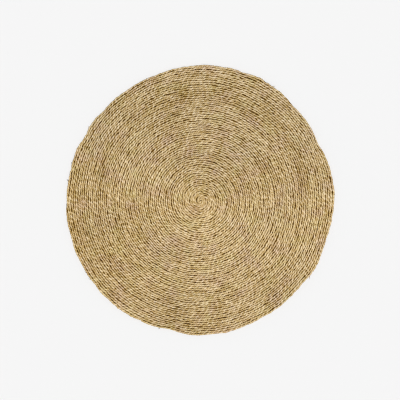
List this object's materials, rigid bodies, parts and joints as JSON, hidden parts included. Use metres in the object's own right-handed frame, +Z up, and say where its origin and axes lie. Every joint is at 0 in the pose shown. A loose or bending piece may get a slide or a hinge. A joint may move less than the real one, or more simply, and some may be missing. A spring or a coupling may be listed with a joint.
{
  "type": "round rug",
  "caption": "Round flat rug of natural twisted grass rope, coiled from the middle in a spiral and sewn row to row, with a slightly uneven rim.",
  "frame": {"origin": "under the middle of the rug's box, on the surface that the rug lies on", "axes": "+Z up, out of the rug's face; +X and +Y lie in the rug, +Y towards the side that is at the top of the picture"},
  "size_m": [1.5062, 1.516, 0.011],
  "materials": {
    "twisted_grass": "dry twisted grass rope, straw coloured with olive and mauve-brown streaks, matte with a faint sheen"
  },
  "bodies": {
    "root": {"coiled_rug": "twisted_grass"}
  },
  "joints": []
}
